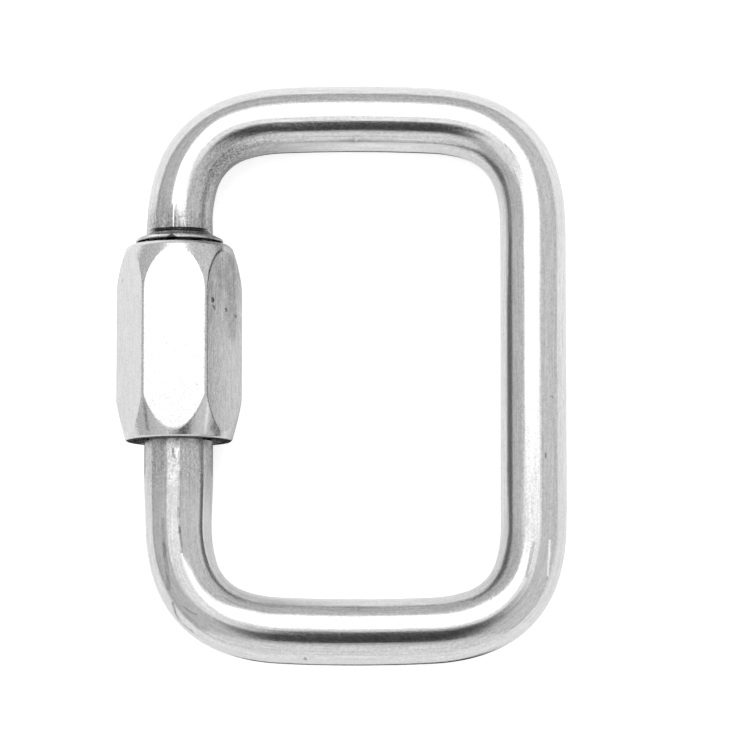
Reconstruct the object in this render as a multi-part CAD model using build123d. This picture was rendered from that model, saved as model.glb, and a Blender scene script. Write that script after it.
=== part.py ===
from build123d import *
import math
import os

# A screw-lock quick link lying flat: a round bar bent into a rounded rectangle, open in its
# left side, and a long hexagonal sleeve nut that bridges the opening. All sizes are in mm.
# X runs across the link, Y along it and Z up out of the plane that it lies in. The origin is
# the middle of the window, in the middle plane of the bar.

# Driving dimensions
bar_diameter = 6.0
link_width = 38.1          # over the two long sides of the bar
link_length = 52.8         # over the two short sides of the bar
bend_radius = 7.1          # tight middle of each corner, at the bar's centre line
blend_radius = 14.0        # gentler start and end of each corner
blend_turn = 16.0          # degrees that each gentle stretch turns
bow_radius = 160.0         # the short sides are very slightly bowed
thread_pitch = 1.0
nut_across_flats = 10.0
nut_length = 17.85
collar_diameter = 8.0
collar_face_y = 11.9       # the face of the collar that the nut is screwed up against
upper_thread_length = 3.0
opening_gap = 6.5          # free space between the two arm tips
nut_turned = 3.5           # degrees that the closed nut's upper flat leans towards the left

# Bar
bar_radius = bar_diameter / 2
side_x = link_width / 2 - bar_radius
end_y = link_length / 2 - bar_radius
arm_radius = 3.1           # the lower arm is a little thicker near the nut
arm_taper_length = 4.0
tip_chamfer = 0.5
bury = 0.2                 # how deep a piece of the bar runs into the next

# Threads are rolled, so their crests stand proud of the bar and the nut passes over the bar
core_radius = 2.75
crest_radius = 3.35
crest_width = 0.2
root_width = 0.86
thread_relief = 0.3        # plain core left beside the collar and under the nut's lower end
nut_root_radius = 3.43
nut_crest_radius = 3.2
nut_crest_width = 0.24
nut_foot_width = 0.5

# Collar, pressed up from the bar
collar_radius = collar_diameter / 2
collar_edge = 0.2
collar_flare_height = 1.4
flare_knee_height = 0.84   # the flare narrows fast up to here, then gently
flare_knee_radius = 3.4
collar_edge_chamfer = 0.06
fin_length = 2.8
fin_width = 0.24
fin_height = 0.16
fin_turned = 9.0           # degrees from the top of the arm towards the left

# Sleeve nut
nut_top_y = collar_face_y - 0.15
nut_bottom_y = nut_top_y - nut_length
hex_edge_radius = 0.45
crown_radius = 15.0        # the upper end is turned to a long crowned shape
crown_length = 5.45
crown_rim_chamfer = 0.3
cone_length = 4.0          # the lower end is turned to a slightly bellied cone
cone_angle = 13.4
cone_belly = 0.06
cone_rim_chamfer = 0.25
mouth_radius = 3.75
mouth_depth = 0.5

# Plain lip inside the lower end of the nut
lip_outer_radius = 4.0
lip_inner_radius = 3.45
lip_length = 1.4
lip_inset = 0.3
lip_clearance = 0.1

# Places along the arms
upper_tip_y = collar_face_y - upper_thread_length
lower_tip_y = upper_tip_y - opening_gap
lower_thread_end_y = nut_bottom_y + thread_relief


def laid_over(piece):
    """Arms and nut are made about Z at their finished heights, then laid along Y."""
    return Pos(-side_x, 0, 0) * Rot(-90, 0, 0) * piece


def turned(*corners):
    """A solid of revolution about Z from its (radius, height) outline."""
    outline = make_face(Polyline(*corners, close=True))
    return revolve(Plane.XZ * outline, Axis.Z)


def helical_ridge(bottom, top, foot_radius, foot_width, tip_radius, tip_width, lead):
    """A trapezoidal ridge about Z. Ridges with the same lead lie on one common helix."""
    path = Helix(thread_pitch, top - bottom, foot_radius)
    foot = foot_width / 2
    tip = tip_width / 2
    corners = [(foot_radius, -foot), (tip_radius, -tip), (tip_radius, tip), (foot_radius, foot)]
    section = Plane.XZ * make_face(Polyline(*corners, close=True))
    ridge = sweep(section, path=path, is_frenet=True)
    return Pos(0, 0, bottom) * Rot(0, 0, 360 * (bottom - lead) / thread_pitch) * ridge


def corner_bow():
    """Degrees that half of a short side turns, so that its corner meets the long side."""
    blend = math.radians(blend_turn)
    along = bow_radius - blend_radius + (blend_radius - bend_radius) * math.cos(blend)
    across = (blend_radius - bend_radius) * math.sin(blend)
    rest = side_x - bend_radius * math.cos(blend) - blend_radius * (1 - math.cos(blend))
    return math.degrees(math.asin(rest / math.hypot(along, across)) - math.atan2(across, along))


def corner_end_y():
    """Height at which the upper corners run into the straight long sides."""
    bow = math.radians(corner_bow())
    blend = math.radians(blend_turn)
    bow_centre = end_y - bow_radius
    first_blend_centre = bow_centre + (bow_radius - blend_radius) * math.cos(bow)
    bend_centre = first_blend_centre + (blend_radius - bend_radius) * math.cos(bow + blend)
    return bend_centre - (blend_radius - bend_radius) * math.sin(blend)


def centre_line():
    """The bar's centre line, clockwise from inside the collar to the root of the lower arm."""
    bow = corner_bow()
    corner = [
        (blend_radius, blend_turn),
        (bend_radius, 90 - bow - 2 * blend_turn),
        (blend_radius, blend_turn),
    ]
    half_turn = corner + [(bow_radius, 2 * bow)] + corner
    with BuildLine() as run:
        stretch = Line((-side_x, collar_face_y + bury), (-side_x, corner_end_y()))
        for radius, turn in half_turn:
            stretch = JernArc(stretch @ 1, stretch % 1, radius, -turn)
        stretch = Line(stretch @ 1, (side_x, -corner_end_y()))
        for radius, turn in half_turn:
            stretch = JernArc(stretch @ 1, stretch % 1, radius, -turn)
    return run.wire()


def bent_bar():
    """The plain bar, swept along its centre line."""
    run = centre_line()
    return sweep(Plane(run @ 0, z_dir=run % 0) * Circle(bar_radius), path=run)


def thread_on(bottom, top):
    """The ridge of an arm's thread between two heights."""
    half = root_width / 2
    return helical_ridge(bottom + half, top - half, core_radius - bury, root_width,
                         crest_radius, crest_width, 0)


def lower_arm():
    """The lower arm about Z: taper, plain stretch, threaded core and chamfered tip."""
    step = arm_radius - core_radius
    core = turned(
        (0, -corner_end_y()),
        (bar_radius, -corner_end_y()),
        (arm_radius, arm_taper_length - corner_end_y()),
        (arm_radius, lower_thread_end_y - step),
        (core_radius, lower_thread_end_y),
        (core_radius, lower_tip_y - tip_chamfer),
        (core_radius - tip_chamfer, lower_tip_y),
        (0, lower_tip_y),
    )
    return core + thread_on(lower_thread_end_y, lower_tip_y - tip_chamfer)


def upper_arm():
    """The upper arm about Z: chamfered tip, threaded core, collar and the two fins."""
    flare_foot = collar_face_y + collar_flare_height
    core = turned(
        (0, upper_tip_y),
        (core_radius - tip_chamfer, upper_tip_y),
        (core_radius, upper_tip_y + tip_chamfer),
        (core_radius, collar_face_y),
        (collar_radius - collar_edge_chamfer, collar_face_y),
        (collar_radius, collar_face_y + collar_edge_chamfer),
        (collar_radius, collar_face_y + collar_edge),
        (collar_radius - collar_edge_chamfer, collar_face_y + collar_edge + collar_edge_chamfer),
        (flare_knee_radius, collar_face_y + flare_knee_height),
        (bar_radius, flare_foot),
        (0, flare_foot),
    )
    core = core + thread_on(upper_tip_y + tip_chamfer, collar_face_y - thread_relief)
    fin = Box(fin_width, 2 * (bar_radius + fin_height), fin_length)
    return core + Pos(0, 0, flare_foot) * Rot(0, 0, -fin_turned) * fin


def link():
    """The bent bar with its collar and both threaded arms, in one piece."""
    return bent_bar() + laid_over(upper_arm()) + laid_over(lower_arm())


def nut():
    """The sleeve nut about its own axis: a hexagon turned at both ends, bored and threaded."""
    corner_radius = nut_across_flats / math.sqrt(3)
    crown_start_y = nut_top_y - crown_length
    crown_centre = corner_radius - crown_radius
    crown_top_y = nut_top_y - crown_rim_chamfer
    crown_middle_y = (crown_start_y + crown_top_y) / 2

    def crown(height):
        return crown_centre + math.sqrt(crown_radius ** 2 - (height - crown_start_y) ** 2)

    cone_end = corner_radius - cone_length * math.tan(math.radians(cone_angle))
    cone_middle = (corner_radius + cone_end) / 2 + cone_belly
    with BuildLine() as outline:
        Polyline(
            (0, nut_top_y),
            (crown(crown_top_y) - crown_rim_chamfer, nut_top_y),
            (crown(crown_top_y), crown_top_y),
        )
        ThreePointArc(
            (crown(crown_top_y), crown_top_y),
            (crown(crown_middle_y), crown_middle_y),
            (corner_radius, crown_start_y),
        )
        Line((corner_radius, crown_start_y), (corner_radius, nut_bottom_y + cone_length))
        ThreePointArc(
            (corner_radius, nut_bottom_y + cone_length),
            (cone_middle, nut_bottom_y + cone_length / 2),
            (cone_end, nut_bottom_y + cone_rim_chamfer),
        )
        Polyline(
            (cone_end, nut_bottom_y + cone_rim_chamfer),
            (cone_end - cone_rim_chamfer, nut_bottom_y),
            (0, nut_bottom_y),
            (0, nut_top_y),
        )
    envelope = revolve(Plane.XZ * make_face(outline.line), Axis.Z)
    section = RegularPolygon(nut_across_flats / 2, 6, major_radius=False)
    section = Rot(0, 0, -nut_turned) * fillet(section.vertices(), hex_edge_radius)
    hexagon = Pos(0, 0, nut_bottom_y) * extrude(section, nut_length)
    body = hexagon & envelope
    seat_top_y = nut_bottom_y + lip_inset + lip_length + lip_clearance
    bore = turned(
        (0, nut_bottom_y - bury),
        (lip_outer_radius + lip_clearance, nut_bottom_y - bury),
        (lip_outer_radius + lip_clearance, seat_top_y),
        (nut_root_radius, seat_top_y),
        (nut_root_radius, nut_top_y - mouth_depth),
        (mouth_radius, nut_top_y),
        (mouth_radius, nut_top_y + bury),
        (0, nut_top_y + bury),
    )
    half = nut_foot_width / 2
    ridge = helical_ridge(seat_top_y + half, nut_top_y - mouth_depth - half,
                          nut_root_radius + bury, nut_foot_width,
                          nut_crest_radius, nut_crest_width, thread_pitch / 2)
    return laid_over((body - bore) + ridge)


def lip():
    """The plain ring at the nut's lower end, which guides it along the arm."""
    base = nut_bottom_y + lip_inset
    ring = turned(
        (lip_inner_radius, base),
        (lip_outer_radius, base),
        (lip_outer_radius, base + lip_length),
        (lip_inner_radius, base + lip_length),
    )
    return laid_over(ring)


nodes = {
    "bent_bar": link(),
    "hex_nut": nut(),
    "nut_guide_lip": lip(),
}

os.makedirs("parts", exist_ok=True)
for name, solid in nodes.items():
    export_step(solid, f"parts/{name}.step")
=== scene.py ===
import math

import bpy
import numpy as np
from mathutils import Matrix, Vector, noise


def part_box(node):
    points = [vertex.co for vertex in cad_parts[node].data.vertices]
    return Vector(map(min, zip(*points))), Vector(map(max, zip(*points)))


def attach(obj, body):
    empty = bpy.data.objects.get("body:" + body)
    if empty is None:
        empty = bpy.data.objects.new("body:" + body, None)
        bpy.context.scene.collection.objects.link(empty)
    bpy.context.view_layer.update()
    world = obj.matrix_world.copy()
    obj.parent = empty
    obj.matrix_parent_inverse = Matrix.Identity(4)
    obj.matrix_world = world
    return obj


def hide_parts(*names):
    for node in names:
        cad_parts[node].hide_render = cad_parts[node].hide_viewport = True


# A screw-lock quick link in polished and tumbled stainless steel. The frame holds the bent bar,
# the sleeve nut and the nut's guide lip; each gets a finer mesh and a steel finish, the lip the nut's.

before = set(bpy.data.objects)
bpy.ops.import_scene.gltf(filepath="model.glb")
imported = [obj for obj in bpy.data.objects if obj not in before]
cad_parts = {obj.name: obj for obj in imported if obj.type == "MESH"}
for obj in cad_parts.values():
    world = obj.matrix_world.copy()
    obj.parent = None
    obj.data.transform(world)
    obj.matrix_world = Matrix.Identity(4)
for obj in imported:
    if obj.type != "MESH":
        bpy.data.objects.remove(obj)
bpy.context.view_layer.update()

MM = 0.001

# Sizes in millimetres, from the frame where it has them. X runs across the link away from the
# nut, Y along it towards the collar and Z up; the origin is the middle of the window.
link_low, link_high = (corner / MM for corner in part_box("bent_bar"))
nut_low, nut_high = (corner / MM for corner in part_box("hex_nut"))
lip_low, lip_high = (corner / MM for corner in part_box("nut_guide_lip"))
bar_radius = 3.0
side_x = link_high.x - bar_radius
end_y = link_high.y - bar_radius
bend_radius = 7.1
blend_radius = 14.0
blend_turn = math.radians(16)
bow_radius = 160.0
thread_pitch = 1.0
core_radius = 2.75
crest_radius = 3.35
arm_radius = 3.1
arm_taper_length = 4.0
tip_chamfer = 0.5
soft_edge = 0.05
nut_top = nut_high.y - 0.1         # the skin's upper end leaves a thin dark gap under the collar
nut_bottom = nut_low.y
collar_face = nut_high.y + 0.15
collar_radius = -side_x - link_low.x
collar_rim_height = 0.28           # where the collar's rim ends and its flare starts
upper_thread_length = 3.0
opening_gap = 6.5
thread_relief = 0.3
thread_half_foot = 0.43            # half the width of a thread's ridge at its foot
thread_flank = 0.33                # width of each of its flanks
run_step = 0.42                    # between the rings of points along the bends and sides
first_run_step = 0.12              # the same just above the collar
thread_step = 0.055                # the same along a thread
upper_tip = collar_face - upper_thread_length
lower_tip = upper_tip - opening_gap
lower_thread_end = nut_bottom + thread_relief
neck_radius = 3.03                 # at the foot of the flare
crease_height = 1.0
crease_width = 0.34
crease_depth = 0.22
fin_angles = [math.radians(99), math.radians(279)]
nut_half_flats = 5.0
nut_turned = math.radians(3.5)
nut_corner_radius = nut_half_flats / math.cos(math.pi / 6)
nut_root_radius = 3.43
nut_crest_radius = 3.2


def smooth_step(value, low, high):
    """0 below low, 1 above high, with a smooth rise between them."""
    t = np.clip((value - low) / (high - low), 0, 1)
    return t * t * (3 - 2 * t)


def soft_min(a, b, width):
    """The smaller of a and b, with the corner between them rounded over width."""
    h = np.clip(0.5 + 0.5 * (b - a) / width, 0, 1)
    return b * (1 - h) + a * h - width * h * (1 - h)


def smooth_noise(points, scale, seed):
    """Seeded noise of about -1 to 1 at each point, its features about scale mm across."""
    shift = Vector((seed * 13.7, seed * 7.3, seed * 3.1))
    return np.array([noise.noise(Vector(p) / scale + shift) for p in points])


# Bent bar ---------------------------------------------------------------------------------------

def corner_bow():
    """The angle that half of a short side turns, so that its corner meets the long side."""
    along = bow_radius - blend_radius + (blend_radius - bend_radius) * math.cos(blend_turn)
    across = (blend_radius - bend_radius) * math.sin(blend_turn)
    rest = side_x - bend_radius * math.cos(blend_turn) - blend_radius * (1 - math.cos(blend_turn))
    return math.asin(rest / math.hypot(along, across)) - math.atan2(across, along)


def corner_end_y():
    """Height at which the upper corners run into the straight long sides."""
    bow = corner_bow()
    height = end_y - bow_radius + (bow_radius - blend_radius) * math.cos(bow)
    height += (blend_radius - bend_radius) * math.cos(bow + blend_turn)
    return height - (blend_radius - bend_radius) * math.sin(blend_turn)


def bent_run(step, first_step):
    """(x, y, heading, curvature) along the centre line, clockwise from the collar.

    The first stretch, just above the collar, has its own smaller step.
    """
    bow = corner_bow()
    tight_turn = math.pi / 2 - bow - 2 * blend_turn
    corner = [(blend_radius, blend_turn), (bend_radius, tight_turn), (blend_radius, blend_turn)]
    half = corner + [(bow_radius, 2 * bow)] + corner
    place = np.array([-side_x, corner_end_y()])
    heading = math.pi / 2
    stations = []
    long_side = (None, 2 * corner_end_y())
    for radius, turn in half + [long_side] + half:
        length = turn if radius is None else radius * turn
        count = max(2, round(length / (step if stations else first_step)))
        for _ in range(count):
            bend = 0 if radius is None else 1 / radius
            stations.append((*place, heading, bend))
            small = length * bend / count
            chord = length / count if small == 0 else 2 * math.sin(small / 2) / bend
            middle = heading - small / 2
            place = place + chord * np.array([math.cos(middle), math.sin(middle)])
            heading -= small
    stations.append((*place, heading, 0))
    return np.array(stations)


def collar_flare():
    """(height, radius) outline of the collar's flare and of the crease left above it."""
    foot = collar_face + crease_height - crease_width / 2
    rim_height = collar_face + collar_rim_height
    rim_radius = collar_radius - 0.04
    outline = []
    for t in np.linspace(0.04, 1, 12):
        narrowing = 0.35 * t + 0.65 * (3 * t * t - 2 * t ** 3)
        height = rim_height + (foot - rim_height) * t
        outline.append((height, rim_radius + (neck_radius - rim_radius) * narrowing))
    for t in np.linspace(0.12, 1, 9):
        depth = crease_depth * math.sin(math.pi * t) ** 0.7
        outline.append((foot + crease_width * t, neck_radius - depth))
    return outline


def arm_tip():
    """(distance from the tip, radius) outline of an arm's chamfered tip, with softened edges."""
    return [
        (0, 0.02),
        (0, core_radius - tip_chamfer - soft_edge),
        (soft_edge, core_radius - tip_chamfer + soft_edge),
        (tip_chamfer - soft_edge, core_radius - soft_edge),
        (tip_chamfer, core_radius),
    ]


def upper_arm_profile():
    """(height, radius) outline of the upper arm from its tip to the root above the collar."""
    thread = np.arange(upper_tip + tip_chamfer + soft_edge, collar_face - thread_relief, thread_step)
    outline = [(upper_tip + height, radius) for height, radius in arm_tip()]
    outline += [(height, core_radius) for height in thread]
    rim = [
        (-soft_edge, core_radius),
        (0, core_radius + soft_edge),
        (0, 3.2),
        (0, 3.6),
        (0.02, 3.8),
        (0.08, collar_radius - 0.07),
        (0.14, collar_radius - 0.02),
        (0.19, collar_radius),
        (0.24, collar_radius - 0.02),
    ]
    outline += [(collar_face + height, radius) for height, radius in rim]
    return outline + collar_flare()


def lower_arm_profile():
    """(height, radius) outline of the lower arm from its root in the bend to its tip."""
    root = -corner_end_y()
    taper = np.linspace(0, 1, 14)[1:]
    outline = []
    for t in taper:
        radius = bar_radius + (arm_radius - bar_radius) * smooth_step(t, 0, 1)
        outline.append((root + arm_taper_length * t, radius))
    shoulder = lower_thread_end - (arm_radius - core_radius)
    plain = np.arange(root + arm_taper_length + 0.3, shoulder - soft_edge, 0.3)
    outline += [(height, arm_radius) for height in plain]
    outline += [(shoulder, arm_radius), (lower_thread_end, core_radius)]
    thread = np.arange(lower_thread_end + 0.04, lower_tip - tip_chamfer - 0.02, thread_step)
    outline += [(height, core_radius) for height in thread]
    outline += [(lower_tip - height, radius) for height, radius in reversed(arm_tip())]
    return outline


def thread_rise(height, angle, low, high):
    """How far an arm's right-hand thread stands above its core at a height and a ring angle."""
    turn = height / thread_pitch + angle / (2 * math.pi)
    across = np.abs(turn - np.round(turn)) * thread_pitch
    ridge = smooth_step(thread_half_foot - across, 0, thread_flank)
    fade = smooth_step(height, low, low + 0.5) * (1 - smooth_step(height, high - 0.5, high))
    return (crest_radius - core_radius) * ridge * fade


def ring_angles():
    """Angles round the bar, with a few more beside each pressed fin."""
    even = np.linspace(0, 2 * math.pi, 108, endpoint=False)
    near = np.radians([0, 0.8, 1.6, 2.4, 3.2, 4.2, 5.4, 7, 9, 11, 13.5, 16])
    near = np.concatenate([-near[:0:-1], near])
    extra = np.concatenate([(fin + near) for fin in fin_angles])
    return np.unique(np.round(np.concatenate([even, extra]), 5))


def bar_rings():
    """(x, y, heading, curvature, radius) rings from tip to tip, and the first ring of the run
    between the arms and of the lower arm."""
    rings = [(-side_x, height, math.pi / 2, 0.0, radius) for height, radius in upper_arm_profile()]
    first_run = len(rings)
    rings += [(*station, bar_radius) for station in bent_run(run_step, first_run_step)]
    last_run = len(rings)
    rings += [(-side_x, height, math.pi / 2, 0.0, radius) for height, radius in lower_arm_profile()]
    return np.array(rings), first_run, last_run


def flatten(angle, facing, half_width, radius):
    """How far a flat pressed on a bar of this radius lies below its round."""
    off = np.abs((angle - facing + math.pi) % (2 * math.pi) - math.pi)
    flat = radius * math.cos(half_width) / np.cos(np.minimum(off, 1.2))
    return np.where(off < half_width, radius - np.minimum(flat, radius), 0)


def pressed_flats(angle, y):
    """Depth of the faint flats pressed on the lower arm, from the bend up to its thread."""
    depth = np.zeros(len(angle))
    for facing, half_width in ((71, 16), (100, 8), (126, 12), (20, 20), (250, 18), (300, 16)):
        depth += flatten(angle, math.radians(facing), math.radians(half_width), arm_radius)
    bend_end = -corner_end_y()
    reach = smooth_step(y, bend_end - 5.0, bend_end - 1.5)
    reach *= 1 - smooth_step(y, lower_thread_end - 0.6, lower_thread_end - 0.2)
    return 0.85 * depth * reach


def pressed_fins(angle, above):
    """The dies' fins above the collar: their relief with its dents, painted highlights on their ridges
    and painted shade beside and under them.
    """
    falling = np.clip((3.3 - above) / 2.1, 0, 1) * smooth_step(above, 0.95, 1.15)
    tall = smooth_step(above, 0.75, 1.1) * (1 - smooth_step(above, 2.2, 3.4))
    relief = np.zeros(len(angle))
    ridge = np.zeros(len(angle))
    shade = np.zeros(len(angle))
    fin_foot_shade = np.zeros(len(angle))
    for fin in fin_angles:
        off = (angle - fin + math.pi) % (2 * math.pi) - math.pi
        width = off * bar_radius
        rise = 0.08 * np.exp(-(width / 0.14) ** 2) * tall
        right_width = 0.07 + 0.24 * falling
        from_right = np.abs(width + 0.16 + 0.24 * falling)
        right_dent = 1 - smooth_step(from_right, 0.6 * right_width, 1.3 * right_width)
        left_dent = np.exp(-((width - 0.75) / 0.42) ** 2)
        relief += rise - falling * (0.12 * right_dent + 0.16 * left_dent)
        beside = np.exp(-((width - 0.2) / 0.07) ** 2) * tall
        ridge = np.maximum(ridge, np.exp(-(width / 0.09) ** 2) * tall)
        shade = np.maximum(shade, np.maximum(0.5 * falling * right_dent, 0.3 * beside))
        fin_foot_shade = np.maximum(fin_foot_shade, 1 - smooth_step(above + 0.9 * np.abs(width), 0.3, 0.62))
    return relief, ridge, shade, fin_foot_shade


def bent_bar_mesh():
    """The whole bar as one closed tube: threaded arms, collar, fins, bends and straight sides."""
    angles = ring_angles()
    rings, first_run, last_run = bar_rings()
    steps = np.hypot(np.diff(rings[:, 0]), np.diff(rings[:, 1]))
    distance = np.concatenate([[0], np.cumsum(steps)])
    count = len(angles)
    x, y, heading, _, radius = (np.repeat(rings[:, i], count) for i in range(5))
    along = np.repeat(distance, count)
    angle = np.tile(angles, len(rings))
    index = np.repeat(np.arange(len(rings)), count)
    above = y - collar_face
    on_upper_arm = index < first_run
    on_lower_arm = index >= last_run
    left_side = x < 0

    # the crease above the collar is deep on the two faces that the dies pressed, and fades between
    in_crease = on_upper_arm & (radius < neck_radius - 0.001) & (above > 0.3)
    pressed_face = smooth_step(np.abs(np.sin(angle)), 0.35, 0.8)
    radius = np.where(in_crease, neck_radius + (radius - neck_radius) * pressed_face, radius)

    # threads
    on_upper = on_upper_arm & (above < -0.1) & (radius > 2.6)
    on_lower = on_lower_arm & (y > lower_thread_end) & (radius > 2.6)
    upper_rise = thread_rise(y, angle, upper_tip + 0.3, collar_face - 0.1)
    lower_rise = thread_rise(y, angle, lower_thread_end, lower_tip - 0.2)
    thread = np.where(on_upper, upper_rise, 0) + np.where(on_lower, lower_rise, 0)
    radius = radius + thread

    # fins left by the dies above the collar, and faint flats pressed on the lower arm
    fin_zone = (index < first_run + 32) & (above > 0.3) & left_side
    fin_relief, fin_ridge_highlight, fin_shade, fin_foot_shade = pressed_fins(angle, above)
    radius = radius + np.where(fin_zone, fin_relief, 0)
    radius = radius - np.where((index >= last_run - 24) & left_side, pressed_flats(angle, y), 0)

    # the outer side of each bend is drawn a little flat, most at the collar's end
    even = np.arange(0, distance[-1], 0.2)
    blur = np.hanning(31) / np.hanning(31).sum()
    bent = np.convolve(np.interp(even, distance, rings[:, 3]), blur, "same")
    bent = np.clip(np.interp(along, even, bent) * bend_radius, 0, 1)
    drawn = 0.09 + 0.12 * (left_side & (y > 0))
    radius = radius - drawn * bent * smooth_step(-np.cos(angle), 0.1, 1.0)

    # slow waves that the polishing left
    straight = np.stack([along, radius * np.cos(angle), radius * np.sin(angle)], 1)
    plain = (index >= first_run - 4) & (index < last_run + 30)
    waves = smooth_noise(straight, 4.5, 1) + 0.4 * smooth_noise(straight, 1.6, 2)
    radius = radius + np.where(plain, 0.006 * waves, 0)

    inward = radius * np.cos(angle)
    points = np.stack([
        x + inward * np.sin(heading),
        y - inward * np.cos(heading),
        radius * np.sin(angle),
    ], 1)

    # speckle inside the bend by the collar, and a duller finish beside the nut and the collar
    by_collar = smooth_step(-x, 5, 8) * smooth_step(y, 5, 8)
    bent_inside = bent * smooth_step(np.cos(angle), 0.0, 0.8) * (0.3 + 0.7 * by_collar)
    near_nut = 0.55 * smooth_step(along - distance[last_run], 0, 6) * on_lower_arm
    near_collar = np.exp(-((above - 1.4) / 1.6) ** 2) * (index < first_run + 20) * left_side

    # painted shade, a darker base colour where shade falls: the crease, under the collar, the flare's
    # sides, the threads' roots, below the nut's lower end and beside and under the fins
    crease = np.exp(-((above - crease_height) / (0.45 * crease_width)) ** 2) * pressed_face
    crease *= on_upper_arm
    under_collar = 0.45 * (on_upper_arm & (above > -0.03) & (above < 0.1))
    on_flare = smooth_step(above, 0.15, 0.3) * (1 - smooth_step(above, 0.75, 0.85)) * on_upper_arm
    flare_side = 0.42 * on_flare * smooth_step(np.abs(np.cos(angle) + 0.05), 0.42, 0.75)
    root = 0.55 * (on_upper | on_lower) * (1 - thread / (crest_radius - core_radius))
    # painted shade below the nut's lower end, mottled
    shade_below_nut = smooth_step(y, nut_bottom - 1.5, nut_bottom - 0.2) * (y < lower_thread_end - 0.3)
    shade_below_nut *= on_lower_arm * (0.34 + 0.30 * smooth_noise(straight, 0.7, 3))
    beside_fins = np.where(fin_zone, fin_shade, 0)
    under_fins = np.where(on_upper_arm & (above > 0), fin_foot_shade, 0)
    painted_shade = np.max([crease, under_collar, flare_side, root, shade_below_nut, beside_fins, under_fins], axis=0)

    # painted highlights, a lighter base colour: the middle of the flare and the fins' ridges
    flare_middle = on_flare * smooth_step(np.abs(np.sin(angle)), 0.55, 0.85)
    painted_highlight = np.maximum(flare_middle, np.where(fin_zone, fin_ridge_highlight, 0))

    mesh = tube_mesh("bent_bar_skin", points, len(rings), count)
    add_attribute(mesh, "steel_place", straight)
    add_attribute(mesh, "bent_inside", bent_inside)
    add_attribute(mesh, "tumbled", np.maximum(near_nut, 0.8 * near_collar))
    add_attribute(mesh, "painted_shade", painted_shade)
    add_attribute(mesh, "painted_highlight", painted_highlight)
    return mesh


# Meshes -----------------------------------------------------------------------------------------

def tube_mesh(name, points, ring_count, per_ring, closed=False):
    """A mesh of quads over rings of points; an open run of rings is capped at both ends."""
    faces = []
    last = ring_count if closed else ring_count - 1
    for ring in range(last):
        here = ring * per_ring
        there = ((ring + 1) % ring_count) * per_ring
        for side in range(per_ring):
            after = (side + 1) % per_ring
            faces.append((here + side, here + after, there + after, there + side))
    if not closed:
        faces.append(tuple(range(per_ring))[::-1])
        faces.append(tuple(range((ring_count - 1) * per_ring, ring_count * per_ring)))
    mesh = bpy.data.meshes.new(name)
    mesh.from_pydata([tuple(p * MM) for p in points], [], faces)
    mesh.validate()
    mesh.polygons.foreach_set("use_smooth", [True] * len(mesh.polygons))
    mesh.set_sharp_from_angle(angle=math.radians(38))
    return mesh


def add_attribute(mesh, name, values):
    """Stores one value, or one vector, for each vertex for the material to read."""
    kind = "FLOAT_VECTOR" if values.ndim == 2 else "FLOAT"
    data = mesh.attributes.new(name, kind, "POINT").data
    data.foreach_set("vector" if values.ndim == 2 else "value", values.astype(np.float32).ravel())


def piece(name, mesh, body, slot, material, *nodes):
    """An object of the link that rides on a CAD body and replaces CAD nodes."""
    thing = bpy.data.objects.new(name, mesh)
    bpy.context.scene.collection.objects.link(thing)
    thing.data.materials.append(material)
    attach(thing, body)
    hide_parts(*nodes)
    return thing


# Sleeve nut -------------------------------------------------------------------------------------

hex_edge_radius = 0.45
crown_radius = 15.0
crown_length = 5.45
crown_rim = 0.3
cone_rim = 0.12
cone_length = 4.0
cone_end_radius = 4.8207
cone_belly = 0.06
turned_edge = 0.035                # how far the edges between flats and turned ends are softened
mouth_depth = 0.5
seat_clearance = 0.03              # round the guide lip
bore_half_foot = 0.26              # half the width of the bore's ridge at its foot
bore_flank = 0.16                  # width of each of its flanks
bore_step = 0.06                   # between the rings of points along it


def hexagon_radius(angle):
    """Distance from the axis to the nut's six flats, with its long edges rounded."""
    corner = math.pi / 6
    off = (angle + corner) % (2 * corner) - corner
    flat = nut_half_flats / np.cos(off)
    centre = (nut_half_flats - hex_edge_radius) / math.cos(corner)
    from_corner = corner - np.abs(off)
    reach = hex_edge_radius ** 2 - (centre * np.sin(from_corner)) ** 2
    rounded = centre * np.cos(from_corner) + np.sqrt(np.maximum(reach, 0))
    tangent = math.atan2((nut_half_flats - hex_edge_radius) * math.tan(corner), nut_half_flats)
    return np.where(np.abs(off) > tangent, rounded, flat)


def crown_radius_at(depth):
    """Turned radius at a depth below the nut's upper end."""
    rest = np.maximum(crown_length - depth, 0)
    return nut_corner_radius - crown_radius + np.sqrt(crown_radius ** 2 - rest ** 2)


def cone_radius_at(height):
    """Turned radius at a height above the nut's lower end."""
    t = np.clip(height / cone_length, 0, 1)
    straight = cone_end_radius + (nut_corner_radius - cone_end_radius) * t
    return straight + 4 * cone_belly * t * (1 - t)


def turned_radius_at(height):
    """Radius at a height of the nut to which both of its ends are turned."""
    return np.minimum(crown_radius_at(nut_top - height), cone_radius_at(height - nut_bottom))


def meeting_distance(turned_radius, flat_radius, limit):
    """Distance from an end, up to a limit, at which its turned surface reaches the flats."""
    low = np.zeros_like(flat_radius)
    high = np.full_like(flat_radius, limit)
    for _ in range(40):
        middle = (low + high) / 2
        inside = turned_radius(middle) < flat_radius
        low = np.where(inside, middle, low)
        high = np.where(inside, high, middle)
    return (low + high) / 2


def nut_angles():
    """Angles round the nut: even across each flat, close together over each rounded edge."""
    half = math.radians(30)
    edge = math.radians(2.0)
    across = np.concatenate([
        np.linspace(-half, -half + edge, 4, endpoint=False),
        np.linspace(-half + edge, -half + 2 * edge, 3, endpoint=False),
        np.linspace(-half + 2 * edge, half - 2 * edge, 24, endpoint=False),
        np.linspace(half - 2 * edge, half - edge, 3, endpoint=False),
        np.linspace(half - edge, half, 4, endpoint=False),
    ])
    return np.concatenate([across + math.radians(60 * k) for k in range(6)])


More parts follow.
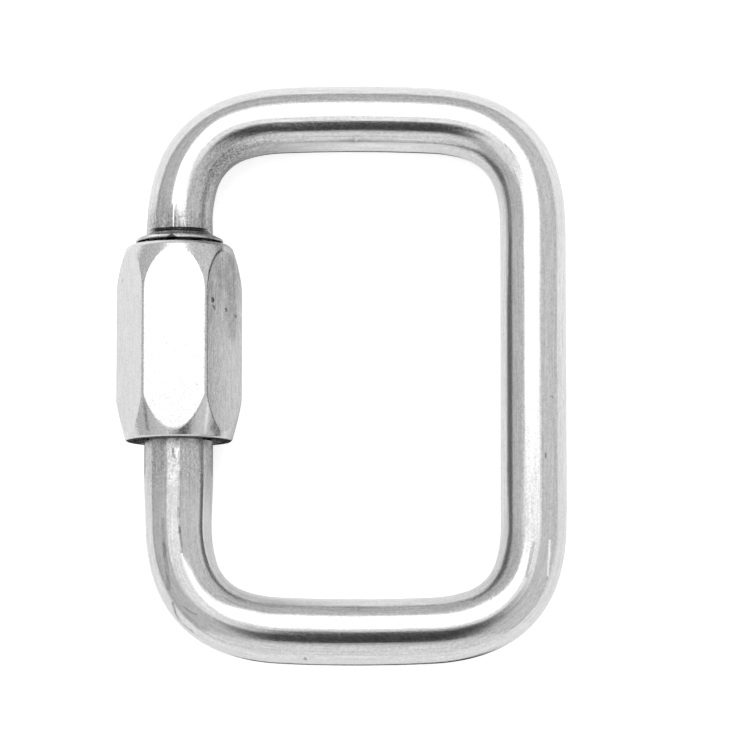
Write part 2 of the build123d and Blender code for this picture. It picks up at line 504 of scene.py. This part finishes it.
def nut_outside(flats):
    """(height, radius) rows of the nut's outer face, from its lower rim up to its upper rim."""
    low_rim = np.full_like(flats, nut_bottom + cone_rim)
    top_rim = np.full_like(flats, nut_top - crown_rim)
    low_line = nut_bottom + meeting_distance(cone_radius_at, flats, cone_length + 0.3)
    top_line = nut_top - meeting_distance(crown_radius_at, flats, crown_length + 0.4)
    near = [-0.5, -0.3, -0.18, -0.1, -0.05, 0.0, 0.05, 0.1, 0.18, 0.3, 0.5]
    cone_end = np.maximum(low_line - 0.55, low_rim + 0.01)
    crown_start = np.minimum(top_line + 0.55, top_rim - 0.01)
    heights = [low_rim + (cone_end - low_rim) * t for t in np.linspace(0, 1, 10, endpoint=False)]
    heights += [np.maximum(low_line + off, low_rim + 0.012 * (1.5 + off)) for off in near]
    heights += [low_line + 0.5 + (top_line - low_line - 1.0) * t for t in np.linspace(0, 1, 60)[1:-1]]
    heights += [np.minimum(top_line + off, top_rim - 0.012 * (1.5 - off)) for off in near]
    heights += [crown_start + (top_rim - crown_start) * t for t in np.linspace(0, 1, 11)[1:]]
    return [(height, soft_min(turned_radius_at(height), flats, turned_edge)) for height in heights]


def nut_inside(turned_angle):
    """(height, radius) rows from the nut's upper rim, down its bore and out to its lower rim.

    The bore's thread keeps half a pitch from the arms' thread all the way round.
    """
    rim_radius = float(crown_radius_at(np.array([crown_rim]))[0])
    seat_top = lip_high.y + seat_clearance
    seat_radius = (lip_high.x - lip_low.x) / 2 + seat_clearance
    thread_top = nut_top - mouth_depth
    mouth = [
        (nut_top - crown_rim + 0.03, rim_radius - 0.02),
        (nut_top - 0.04, rim_radius - crown_rim + 0.05),
        (nut_top, rim_radius - crown_rim - 0.01),
        (nut_top, 3.85),
        (nut_top - 0.04, 3.76),
        (nut_top - mouth_depth + 0.05, nut_root_radius + 0.03),
    ]
    seat = [
        (seat_top, nut_root_radius),
        (seat_top, seat_radius - 0.02),
        (seat_top - 0.03, seat_radius),
        (nut_bottom + 0.06, seat_radius),
        (nut_bottom, seat_radius + 0.06),
        (nut_bottom, cone_end_radius - 0.2),
        (nut_bottom, cone_end_radius - 0.1),
        (nut_bottom + 0.025, cone_end_radius - 0.05),
        (nut_bottom + cone_rim - 0.03, cone_end_radius - 0.005),
    ]
    level = np.ones_like(turned_angle)
    rows = [(level * height, level * radius) for height, radius in mouth]
    for height in np.arange(thread_top, seat_top, -bore_step):
        turn = height / thread_pitch + turned_angle / (2 * math.pi) - 0.5
        across = np.abs(turn - np.round(turn)) * thread_pitch
        fade = np.clip(min((thread_top - height) / 0.4, (height - seat_top) / 0.3), 0, 1)
        ridge = smooth_step(bore_half_foot - across, 0, bore_flank) * fade
        radius = nut_root_radius - (nut_root_radius - nut_crest_radius) * ridge
        rows.append((level * height, radius))
    return rows + [(level * height, level * radius) for height, radius in seat]


def nut_painted_light(angle, height, radius, from_flat, on_flat):
    """Painted light and shade: how much lighter or darker each place of the nut is than plain steel.

    Each flat has its own painted shade, some edges are painted dark, and a painted highlight and two
    painted dark reflection lines run down the turned cone beside the upper flat.
    """
    face = np.round(angle / (math.pi / 3)).astype(int) % 6
    flat_shade = np.array([0.0, -0.02, -0.04, -0.05, -0.03, -0.07])[face]
    flat_shade = flat_shade - 0.07 * (face == 5) * smooth_step(height, 1, 8)
    from_corner = (np.degrees(angle) + 210) % 360 - 180
    edge = np.exp(-(from_flat / 0.04) ** 2) * (radius > 4.2)
    edge_shade = np.array([0.06, 0.0, 0.1, 0.1, 0.1, 0.0])[face]
    dark_arc = smooth_step(-from_corner, 1, 4) * (1 - smooth_step(-from_corner, 22, 32))
    dark_arc *= smooth_step(height, -4, -2)
    above_foot = height - nut_bottom
    on_cone = smooth_step(above_foot, 0.3, 0.7) * (1 - smooth_step(above_foot, 2.4, 3.8))
    bright_line = np.exp(-((from_corner + 3.5) / 1.6) ** 2)
    dark_line = np.exp(-((from_corner + 13) / 4.5) ** 2)
    left_line = np.exp(-((from_corner - 58.5) / 1.8) ** 2)
    cone_reflection = on_cone * (0.25 * bright_line - 0.26 * dark_line - 0.28 * left_line)
    return flat_shade * on_flat - edge * (edge_shade + 0.42 * dark_arc) + cone_reflection * (1 - on_flat)


def sleeve_nut_mesh():
    """The nut: crowned upper end, coned lower end, flats between, and its threaded bore."""
    hex_angle = nut_angles()
    flats = hexagon_radius(hex_angle)
    hex_turned = hex_angle + math.pi / 2 + nut_turned
    rows = nut_outside(flats) + nut_inside(hex_turned)
    rows.reverse()
    height = np.concatenate([row[0][::-1] for row in rows])
    radius = np.concatenate([row[1][::-1] for row in rows])
    angle = np.tile(hex_angle[::-1], len(rows))
    turned_angle = np.tile(hex_turned[::-1], len(rows))
    place = np.stack([radius * np.cos(turned_angle), height, radius * np.sin(turned_angle)], 1)
    points = place - np.array([side_x, 0, 0])
    mesh = tube_mesh("sleeve_nut_skin", points, len(rows), len(hex_angle), closed=True)

    from_flat = turned_radius_at(height) - np.tile(flats[::-1], len(rows))
    on_flat = smooth_step(from_flat, -0.02, 0.03)
    in_bore = radius < 3.9
    underside = ~in_bore & (height < nut_bottom + 0.02)
    add_attribute(mesh, "steel_place", place)
    add_attribute(mesh, "on_flat", on_flat)
    # painted shade: dark in the bore, less dark on the underside
    add_attribute(mesh, "painted_shade", 0.8 * in_bore + 0.45 * underside)
    # painted light and shade of the flats, edges and turned cone
    add_attribute(mesh, "painted_light_tone", nut_painted_light(angle, height, radius, from_flat, on_flat))
    return mesh


def guide_lip_mesh():
    """The plain lip at the nut's lower end, with softened edges."""
    outer = (lip_high.x - lip_low.x) / 2
    inner = 3.45
    low = lip_low.y
    high = lip_high.y
    soft = 0.06
    outline = [
        (low, inner + soft), (low, outer - soft), (low + soft, outer), (high - soft, outer),
        (high, outer - soft), (high, inner + soft), (high - soft, inner), (low + soft, inner),
    ]
    angles = np.linspace(0, 2 * math.pi, 128, endpoint=False)
    height = np.repeat([h for h, r in outline], len(angles))
    radius = np.repeat([r for h, r in outline], len(angles))
    angle = np.tile(angles, len(outline))
    place = np.stack([radius * np.cos(angle), height, radius * np.sin(angle)], 1)
    points = place + np.array([-side_x, 0, 0])
    mesh = tube_mesh("guide_lip_skin", points[::-1], len(outline), len(angles), closed=True)
    add_attribute(mesh, "steel_place", place[::-1])
    add_attribute(mesh, "on_flat", np.zeros(len(points)))
    # painted shade over the whole lip, inside the nut's lower end
    add_attribute(mesh, "painted_shade", np.full(len(points), 0.5))
    add_attribute(mesh, "painted_light_tone", np.zeros(len(points)))
    return mesh


# Materials --------------------------------------------------------------------------------------

def node(tree, kind, inputs=None, **settings):
    """Adds a shader node; an input is a value, or another node's output to link."""
    made = tree.nodes.new("ShaderNode" + kind)
    for name, value in settings.items():
        setattr(made, name, value)
    for name, value in (inputs or {}).items():
        if isinstance(value, bpy.types.NodeSocket):
            tree.links.new(value, made.inputs[name])
        else:
            made.inputs[name].default_value = value
    return made


def maths(tree, operation, first, second=0.0, third=0.0, clamp=False):
    """One step of arithmetic between node outputs or numbers."""
    inputs = {0: first, 1: second, 2: third}
    made = node(tree, "Math", inputs, operation=operation, use_clamp=clamp)
    return made.outputs[0]


def ramp(tree, value, low, high, start=0.0, end=1.0):
    """A smooth change from start, where value is at low, to end, where it is at high."""
    inputs = {"Value": value, "From Min": low, "From Max": high, "To Min": start, "To Max": end}
    return node(tree, "MapRange", inputs, interpolation_type="SMOOTHSTEP").outputs[0]


def soft_patch(tree, across, along, sides):
    """1 inside a soft-edged rectangle of two coordinates; each side is where it starts and ends."""
    left, right, low, high = sides
    inside = ramp(tree, across, *left)
    inside = maths(tree, "MULTIPLY", inside, ramp(tree, across, *right, 1.0, 0.0))
    inside = maths(tree, "MULTIPLY", inside, ramp(tree, along, *low))
    return maths(tree, "MULTIPLY", inside, ramp(tree, along, *high, 1.0, 0.0))


def stretched(tree, place, scale):
    """A place with each of its axes multiplied by its own scale."""
    return node(tree, "VectorMath", {0: place, 1: scale}, operation="MULTIPLY").outputs[0]


def millimetre_axes(tree, place):
    """The three coordinates of a place, from metres to millimetres."""
    return node(tree, "SeparateXYZ", {0: stretched(tree, place, (1 / MM, 1 / MM, 1 / MM))}).outputs


def grain(tree, place, scale, detail=3.0, rough=0.6):
    """Noise from 0 to 1 over a place in millimetres; scale is features per millimetre."""
    inputs = {"Vector": stretched(tree, place, scale), "Scale": 1.0, "Detail": detail,
              "Roughness": rough}
    return node(tree, "TexNoise", inputs, noise_dimensions="3D").outputs[0]


def steel(name):
    """A metallic material with its tree, shader and the attribute that places its grain."""
    material = bpy.data.materials.new(name)
    material.use_nodes = True
    tree = material.node_tree
    shader = tree.nodes["Principled BSDF"]
    shader.inputs["Metallic"].default_value = 1.0
    shader.inputs["Specular IOR Level"].default_value = 0.5
    place = node(tree, "Attribute", attribute_name="steel_place").outputs["Vector"]
    return material, tree, shader, place


def neutral(tree, grey):
    """A neutral colour of one grey level."""
    return node(tree, "CombineColor", {"Red": grey, "Green": grey, "Blue": grey}).outputs[0]


def add_bumps(tree, shader, heights):
    """Chains bump nodes, one for each (height, depth in millimetres), into the shader."""
    normal = None
    for height, depth in heights:
        inputs = {"Height": height, "Distance": depth * MM, "Strength": 1.0}
        if normal is not None:
            inputs["Normal"] = normal
        normal = node(tree, "Bump", inputs).outputs[0]
    tree.links.new(normal, shader.inputs["Normal"])


def mark_line(tree, plan, start, end, width):
    """1 along a mark between two points of the plan, in millimetres, and 0 away from it."""
    run = (end[0] - start[0], end[1] - start[1], 0.0)
    square = run[0] ** 2 + run[1] ** 2
    inputs = {0: plan, 1: (*start, 0.0)}
    from_start = node(tree, "VectorMath", inputs, operation="SUBTRACT").outputs[0]
    share = (run[0] / square, run[1] / square, 0.0)
    along = node(tree, "VectorMath", {0: from_start, 1: share}, operation="DOT_PRODUCT").outputs["Value"]
    along = maths(tree, "ADD", along, 0.0, clamp=True)
    nearest = node(tree, "VectorMath", {0: run, "Scale": along}, operation="SCALE").outputs[0]
    away = node(tree, "VectorMath", {0: from_start, 1: nearest}, operation="DISTANCE").outputs["Value"]
    return ramp(tree, away, 0.3 * width, width, 1.0, 0.0)


def scratches_and_painted_lines(tree, marks):
    """All (start, end, width, strength) marks of a list, added together; the sides have none."""
    place = stretched(tree, node(tree, "TexCoord").outputs["Object"], (1 / MM, 1 / MM, 1 / MM))
    height = node(tree, "SeparateXYZ", {0: place}).outputs[2]
    wander = grain(tree, place, (1.3, 1.3, 0.0), 2.0)
    wander = maths(tree, "MULTIPLY", maths(tree, "SUBTRACT", wander, 0.5), 0.3)
    shift = node(tree, "CombineXYZ", {"X": wander, "Y": wander}).outputs[0]
    flat = stretched(tree, place, (1.0, 1.0, 0.0))
    plan = node(tree, "VectorMath", {0: flat, 1: shift}, operation="ADD").outputs[0]
    total = 0.0
    for start, end, width, strength in marks:
        mark = mark_line(tree, plan, start, end, width)
        total = maths(tree, "MULTIPLY_ADD", mark, strength, third=total)
    return maths(tree, "MULTIPLY", total, ramp(tree, height, 0.7, 1.5))


# (start, end, width, strength) in plan, in millimetres; strength is below 0 for a dark mark
bar_marks = [
    ((-16.5, -20.9), (-16.0, -22.4), 0.14, -0.30),
    ((-15.9, -22.5), (-14.6, -23.5), 0.13, -0.26),
    ((-15.5, -21.3), (-14.4, -22.0), 0.12, -0.16),
    ((-13.9, -24.4), (-13.2, -24.6), 0.16, -0.34),
    # painted dark reflection lines along both sides of the left arm's lower highlight
    ((-15.85, -9.2), (-15.95, -13.2), 0.24, -0.10),
    ((-15.95, -12.4), (-15.9, -14.6), 0.20, -0.16),
    ((-15.9, -14.2), (-15.65, -16.4), 0.20, -0.22),
    ((-17.35, -13.4), (-17.2, -16.8), 0.26, -0.11),
    ((-17.25, -15.6), (-16.8, -19.6), 0.28, -0.16),
    ((-16.5, -7.1), (-16.25, -8.0), 0.13, -0.28),
    ((-16.0, -7.1), (-16.25, -8.0), 0.10, 0.30),
    ((-4.65, -25.9), (-4.55, -25.95), 0.16, -0.30),
    ((17.0, -7.5), (17.05, -7.8), 0.13, -0.34),
    ((17.65, -2.3), (17.7, -2.4), 0.14, -0.26),
    # a painted highlight: a thin bright reflection on the right bar above its lower bend
    ((17.4, -15.3), (17.25, -18.4), 0.16, 0.36),
    # a painted dark line along the outer edge of the lower right bend's highlight
    ((15.9, -15.6), (15.3, -18.6), 0.22, -0.20),
    ((13.4, 20.6), (14.6, 19.4), 0.10, -0.16),
]


nut_marks = [
    ((-11.35, 10.3), (-11.1, 3.4), 0.8, -0.12),
    ((-12.3, 9.8), (-12.0, 7.6), 0.6, -0.08),
    ((-12.95, 6.35), (-12.9, 6.1), 0.16, -0.34),
    ((-12.8, 5.7), (-12.75, 5.4), 0.14, -0.30),
    ((-11.8, 5.65), (-11.75, 5.45), 0.14, -0.28),
    ((-10.9, 5.2), (-10.85, 5.1), 0.13, -0.26),
    ((-13.6, 3.4), (-13.55, 2.2), 0.10, -0.14),
    ((-21.6, 2.6), (-21.6, 2.4), 0.12, -0.20),
]


def bar_steel():
    """Polished bar: fine grain, streaks along it, scratched lines, and speckle where it is tumbled;
    painted reflection lines, painted shade and painted highlights.
    """
    material, tree, shader, place = steel("bar_steel")
    inside = node(tree, "Attribute", attribute_name="bent_inside").outputs["Fac"]
    tumbled = node(tree, "Attribute", attribute_name="tumbled").outputs["Fac"]
    painted_shade = node(tree, "Attribute", attribute_name="painted_shade").outputs["Fac"]
    painted_highlight = node(tree, "Attribute", attribute_name="painted_highlight").outputs["Fac"]
    fine = grain(tree, place, (5.0, 5.0, 5.0), 3.0, 0.7)
    streak = grain(tree, place, (0.22, 6.0, 6.0), 3.0, 0.65)
    mottle = grain(tree, place, (1.6, 3.0, 3.0), 4.0, 0.7)
    speckle = grain(tree, place, (3.4, 5.0, 5.0), 4.0, 0.75)
    coarse = maths(tree, "MAXIMUM", inside, tumbled)
    grey = maths(tree, "ADD", ramp(tree, fine, 0.25, 0.75, 0.55, 0.68),
                 ramp(tree, streak, 0.25, 0.75, -0.07, 0.06))
    grey = maths(tree, "ADD", grey, ramp(tree, mottle, 0.3, 0.7, -0.035, 0.035))
    grey = maths(tree, "ADD", grey, scratches_and_painted_lines(tree, bar_marks))
    # painted highlights on the flare's middle and the fins' ridges
    grey = maths(tree, "ADD", grey, maths(tree, "MULTIPLY", painted_highlight, 0.38))
    pitted = maths(tree, "MULTIPLY", coarse, ramp(tree, speckle, 0.66, 0.36, 0.0, 0.40))
    grey = maths(tree, "SUBTRACT", grey, pitted)
    # painted shade: the base colour darkens where the mesh paints shade
    grey = maths(tree, "MULTIPLY", grey, ramp(tree, painted_shade, 0.0, 0.9, 1.0, 0.12))
    tree.links.new(neutral(tree, grey), shader.inputs["Base Color"])
    rough = ramp(tree, fine, 0.3, 0.7, 0.11, 0.19)
    rough = maths(tree, "ADD", rough, ramp(tree, coarse, 0.1, 1.0, 0.0, 0.14))
    tree.links.new(rough, shader.inputs["Roughness"])
    dents = maths(tree, "MULTIPLY", mottle, coarse)
    specks = maths(tree, "MULTIPLY", speckle, coarse)
    add_bumps(tree, shader, [(fine, 0.003), (streak, 0.004), (dents, 0.05), (specks, 0.014)])
    return material


def nut_steel():
    """Drawn and turned nut: fine lines along the flats and round the turned ends, and pits;
    painted light and shade on its flats, edges and cone, and painted shade in its bore.
    """
    material, tree, shader, place = steel("nut_steel")
    on_flat = node(tree, "Attribute", attribute_name="on_flat").outputs["Fac"]
    painted_shade = node(tree, "Attribute", attribute_name="painted_shade").outputs["Fac"]
    fine = grain(tree, place, (6.5, 6.5, 6.5), 3.0, 0.7)
    brushed = grain(tree, place, (8.0, 0.45, 8.0), 4.0, 0.65)
    turned = grain(tree, place, (0.4, 9.0, 0.4), 3.0)
    mottle = grain(tree, place, (2.2, 1.2, 2.2), 4.0, 0.7)
    pits = grain(tree, place, (2.4, 1.6, 2.4), 2.0)
    grey = maths(tree, "ADD", ramp(tree, fine, 0.25, 0.75, 0.52, 0.72),
                 ramp(tree, brushed, 0.2, 0.8, -0.07, 0.07))
    # painted light and shade of the flats, edges and turned cone
    tone = node(tree, "Attribute", attribute_name="painted_light_tone").outputs["Fac"]
    grey = maths(tree, "ADD", grey, tone)
    grey = maths(tree, "ADD", grey, scratches_and_painted_lines(tree, nut_marks))
    blotch = maths(tree, "MULTIPLY", ramp(tree, mottle, 0.35, 0.65, -1.0, 0.5),
                   ramp(tree, tone, -0.15, 0.0, 0.07, 0.01))
    grey = maths(tree, "ADD", grey, blotch)
    grey = maths(tree, "SUBTRACT", grey, ramp(tree, pits, 0.7, 0.8, 0.0, 0.3))
    # painted shade: the base colour darkens in the bore, on the underside and on the lip
    grey = maths(tree, "MULTIPLY", grey, ramp(tree, painted_shade, 0.0, 0.9, 1.0, 0.12))
    tree.links.new(neutral(tree, grey), shader.inputs["Base Color"])
    # painted shade also darkens the reflections' tint there
    specular_out_of_shade = maths(tree, "SUBTRACT", 1.0, painted_shade)
    tree.links.new(neutral(tree, specular_out_of_shade), shader.inputs["Specular Tint"])
    tree.links.new(ramp(tree, fine, 0.3, 0.7, 0.18, 0.28), shader.inputs["Roughness"])
    lines = maths(tree, "MULTIPLY", brushed, on_flat)
    rings = maths(tree, "MULTIPLY", turned, maths(tree, "SUBTRACT", 1.0, on_flat))
    add_bumps(tree, shader, [(fine, 0.003), (lines, 0.01), (rings, 0.006), (mottle, 0.02)])
    return material


# where the tabletop is darkest: beside the nut's lower end and along both short sides of the bar
contact_shadows = [
    ((-23, -21), (-11, -9), (-9.5, -8.0), (-6.0, -5.4)),
    ((-14, -8), (9, 17), (-29.0, -28.0), (-26.0, -25.0)),
    ((-12, -7), (7, 11), (18.5, 19.3), (20.6, 21.4)),
]


def white_matt(name, near_light, far_light, shading):
    """A pale matt surface that glows a little, from near_light to far_light along the link.

    shading is how much darker it is beside the nut and, more so, in the contact shadows.
    """
    material = bpy.data.materials.new(name)
    material.use_nodes = True
    tree = material.node_tree
    shader = tree.nodes["Principled BSDF"]
    shader.inputs["Roughness"].default_value = 0.9
    shader.inputs["Specular IOR Level"].default_value = 0.0
    shader.inputs["Emission Color"].default_value = (1, 1, 1, 1)
    axes = millimetre_axes(tree, node(tree, "NewGeometry").outputs["Position"])
    shade = soft_patch(tree, axes[0], axes[1], ((-18, -12), (-10, 1), (-22, 0), (20, 28)))
    lit = maths(tree, "SUBTRACT", 1.0, maths(tree, "MULTIPLY", shade, shading))
    contact = 0.0
    for sides in contact_shadows:
        contact = maths(tree, "MAXIMUM", contact, soft_patch(tree, axes[0], axes[1], sides))
    lit = maths(tree, "MULTIPLY", lit, ramp(tree, contact, 0.0, 1.0, 1.0, 1.0 - 2.2 * shading))
    glow = maths(tree, "MULTIPLY", lit, ramp(tree, axes[1], -30, 60, near_light, far_light))
    tree.links.new(neutral(tree, maths(tree, "MULTIPLY", lit, 0.8)), shader.inputs["Base Color"])
    tree.links.new(glow, shader.inputs["Emission Strength"])
    return material


# Studio -----------------------------------------------------------------------------------------

tabletop_radius = 140.0
view_height = 68.38768             # what the camera sees along the link at the origin
lens_distance = 500.0
window_level = 2.3                 # brightness of the tent's window
seen_level = 1.2                   # brightness of the tent where the camera sees it


def tabletop(name, depth, near_light, far_light, shading):
    """A round white tabletop, parallel to the nut's lowest flat and a depth below it."""
    normal = Vector((-math.sin(nut_turned), 0, math.cos(nut_turned)))
    low = Vector((-side_x, 0, 0)) - nut_half_flats * normal
    turns = [2 * math.pi * k / 96 for k in range(96)]
    rim = [(tabletop_radius * MM * math.cos(t), tabletop_radius * MM * math.sin(t), 0) for t in turns]
    mesh = bpy.data.meshes.new(name)
    mesh.from_pydata(rim, [], [tuple(range(96))])
    floor = bpy.data.objects.new(name, mesh)
    bpy.context.scene.collection.objects.link(floor)
    turn = normal.to_track_quat("Z", "Y").to_matrix().to_4x4()
    floor.matrix_world = Matrix.Translation((low - normal * depth) * MM) @ turn
    mesh.materials.append(white_matt(name, near_light, far_light, shading))
    return floor


def card(name, place, sides, glow, upright=False):
    """A soft-edged card, of one brightness, that only shows in the steel.

    sides are its left, right, lower and upper edges, each from where it starts to where it ends.
    It lies flat, or stands along the link if upright.
    """
    left, right, low, high = sides
    corners = [(left[0], low[0]), (right[1], low[0]), (right[1], high[1]), (left[0], high[1])]
    mesh = bpy.data.meshes.new(name)
    mesh.from_pydata([(x * MM, y * MM, 0) for x, y in corners], [], [(0, 1, 2, 3)])
    thing = bpy.data.objects.new(name, mesh)
    bpy.context.scene.collection.objects.link(thing)
    thing.location = Vector(place) * MM
    thing.rotation_euler = (math.pi / 2, 0, math.pi / 2) if upright else (0, 0, 0)
    material = bpy.data.materials.new(name)
    material.use_nodes = True
    tree = material.node_tree
    tree.nodes.remove(tree.nodes["Principled BSDF"])
    axes = millimetre_axes(tree, node(tree, "TexCoord").outputs["Object"])
    mask = soft_patch(tree, axes[0], axes[1], sides)
    light = node(tree, "Emission", {"Strength": glow}).outputs[0]
    clear = node(tree, "BsdfTransparent").outputs[0]
    mixed = node(tree, "MixShader", {0: mask, 1: clear, 2: light}).outputs[0]
    tree.links.new(mixed, tree.nodes["Material Output"].inputs["Surface"])
    mesh.materials.append(material)
    for ray in ("camera", "diffuse", "shadow", "transmission", "volume_scatter"):
        setattr(thing, "visible_" + ray, False)


def studio_stage():
    """The tabletop, once as seen and once as mirrored in the steel, and the cards."""
    seen = tabletop("tabletop_seen", 0.02, 0.55, 0.55, 0.0)
    for ray in ("diffuse", "glossy", "shadow", "transmission"):
        setattr(seen, "visible_" + ray, False)
    mirrored = tabletop("tabletop_mirrored", 0.06, 0.22, 0.38, 0.42)
    mirrored.visible_camera = False

    # name, place, edges in millimetres from that place, brightness
    card("bright_card", (0, 0, 120), ((-110, -100), (-22, -6), (-70, -40), (-4, 11)), 1.15)
    card("dark_card", (0, 0, 190), ((-90, -15), (25, 125), (-220, -180), (-50, -10)), 0.05)
    # a dark strip standing along the middle of the window, seen only in the steel: painted dark
    # reflection lines along the inner faces of the long sides
    card("dark_reflection_rail", (0, 0, 0), ((-19, -14), (13, 18.5), (-0.8, 0.8), (3.8, 5.4)), 0.18, True)
    card("middle_card", (0, 0, 500), ((-300, -240), (130, 250), (-125, -35), (34, 66)), 1.17)


def studio_world():
    """A white light tent with a bright window above; the camera sees it as plain white."""
    world = bpy.data.worlds.new("light_tent")
    bpy.context.scene.world = world
    world.use_nodes = True
    tree = world.node_tree
    background = tree.nodes["Background"]
    background.inputs["Color"].default_value = (1, 1, 1, 1)
    direction = node(tree, "TexCoord").outputs["Generated"]
    axes = node(tree, "SeparateXYZ", {0: direction}).outputs
    across = maths(tree, "MULTIPLY", maths(tree, "ARCTAN2", axes[0], axes[2]), 180 / math.pi)
    along = maths(tree, "MULTIPLY", maths(tree, "ARCTAN2", axes[1], axes[2]), 180 / math.pi)
    level = ramp(tree, axes[2], 0.0, 0.35, 0.6, 0.72)
    level = maths(tree, "ADD", level, ramp(tree, axes[0], 0.3, 0.7, 0.0, 0.14))
    level = maths(tree, "MAXIMUM", level, ramp(tree, axes[1], -0.70, -0.84, 0.0, 1.02))
    level = maths(tree, "MAXIMUM", level, ramp(tree, axes[2], -0.3, -0.02, 1.05, 0.0))
    window = soft_patch(tree, across, along, ((-34, -29), (13, 27), (-16, -12), (44, 60)))
    inputs = {"Factor": window, 2: level, 3: window_level}
    level = node(tree, "Mix", inputs, data_type="FLOAT").outputs[0]
    seen = node(tree, "LightPath").outputs["Is Camera Ray"]
    level = maths(tree, "MAXIMUM", level, maths(tree, "MULTIPLY", seen, seen_level))
    tree.links.new(level, background.inputs["Strength"])


def studio_camera():
    """A long lens above the link, leaning a little towards the near end."""
    pitch = math.radians(6.5)
    yaw = math.radians(-0.3)
    aim = Vector((0.80, -0.29, 0))
    back = Vector((math.sin(yaw) * math.cos(pitch), -math.sin(pitch),
                   math.cos(yaw) * math.cos(pitch)))
    data = bpy.data.cameras.new("camera")
    data.sensor_width = 36.0
    data.lens = data.sensor_width * lens_distance / view_height
    data.clip_start = 0.01
    data.clip_end = 10.0
    camera = bpy.data.objects.new("camera", data)
    bpy.context.scene.collection.objects.link(camera)
    right = Vector((0, 1, 0)).cross(back).normalized()
    axes = Matrix((right, back.cross(right), back)).transposed()
    camera.matrix_world = Matrix.Translation((aim + back * lens_distance) * MM) @ axes.to_4x4()
    bpy.context.scene.camera = camera


steel_of_bar = bar_steel()
steel_of_nut = nut_steel()
piece("bent_bar_skin", bent_bar_mesh(), "link", "bar_steel", steel_of_bar, "bent_bar")
piece("sleeve_nut_skin", sleeve_nut_mesh(), "nut", "nut_steel", steel_of_nut, "hex_nut")
piece("guide_lip_skin", guide_lip_mesh(), "nut_carrier", "nut_steel", steel_of_nut, "nut_guide_lip")

studio_stage()
studio_world()
studio_camera()
bpy.context.scene.view_settings.view_transform = "Standard"
